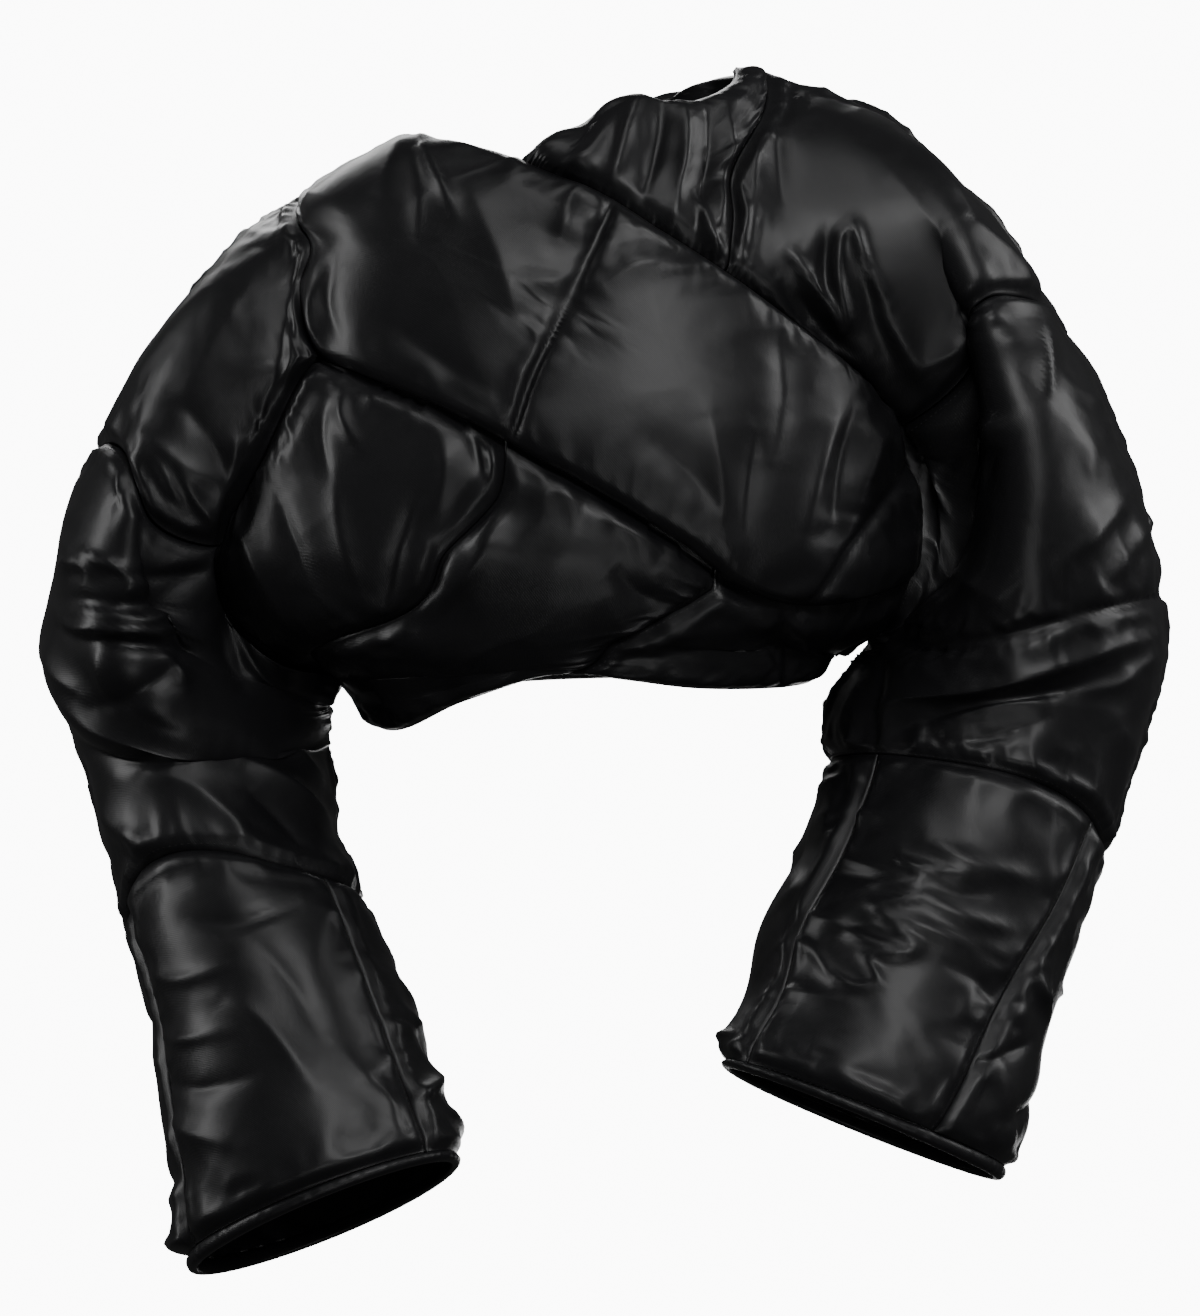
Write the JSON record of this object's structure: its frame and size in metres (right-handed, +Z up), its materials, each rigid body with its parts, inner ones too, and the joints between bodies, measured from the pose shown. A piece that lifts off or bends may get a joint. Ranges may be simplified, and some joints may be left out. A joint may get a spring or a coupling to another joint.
{
  "type": "puffer jacket",
  "caption": "Cropped black puffer jacket with a quilted wrap front and wide batwing sleeves, hollow and posed as it is worn.",
  "frame": {"origin": "the middle of the shoulder line, where the jacket rests on the wearer's shoulders", "axes": "+Z up, -Y out of the jacket's front, +X towards the wearer's left sleeve"},
  "size_m": [0.6966, 0.3229, 0.7373],
  "materials": {
    "shell": "glossy satin, padded",
    "binding": "satin, rolled"
  },
  "bodies": {
    "root": {"front_wrap": "shell", "front_lower_right": "shell", "front_lower_centre": "shell", "front_lower_left": "shell", "front_left_yoke": "shell", "back": "shell", "sleeve_right_cap_front": "shell", "sleeve_right_cap_back": "shell", "sleeve_right_middle_front": "shell", "sleeve_right_middle_back": "shell", "sleeve_right_lower_front": "shell", "sleeve_right_lower_back": "shell", "sleeve_right_cuff": "binding", "sleeve_left_cap_front": "shell", "sleeve_left_cap_back": "shell", "sleeve_left_middle_front": "shell", "sleeve_left_middle_back": "shell", "sleeve_left_lower_front": "shell", "sleeve_left_lower_back": "shell", "sleeve_left_cuff": "binding"}
  },
  "joints": []
}
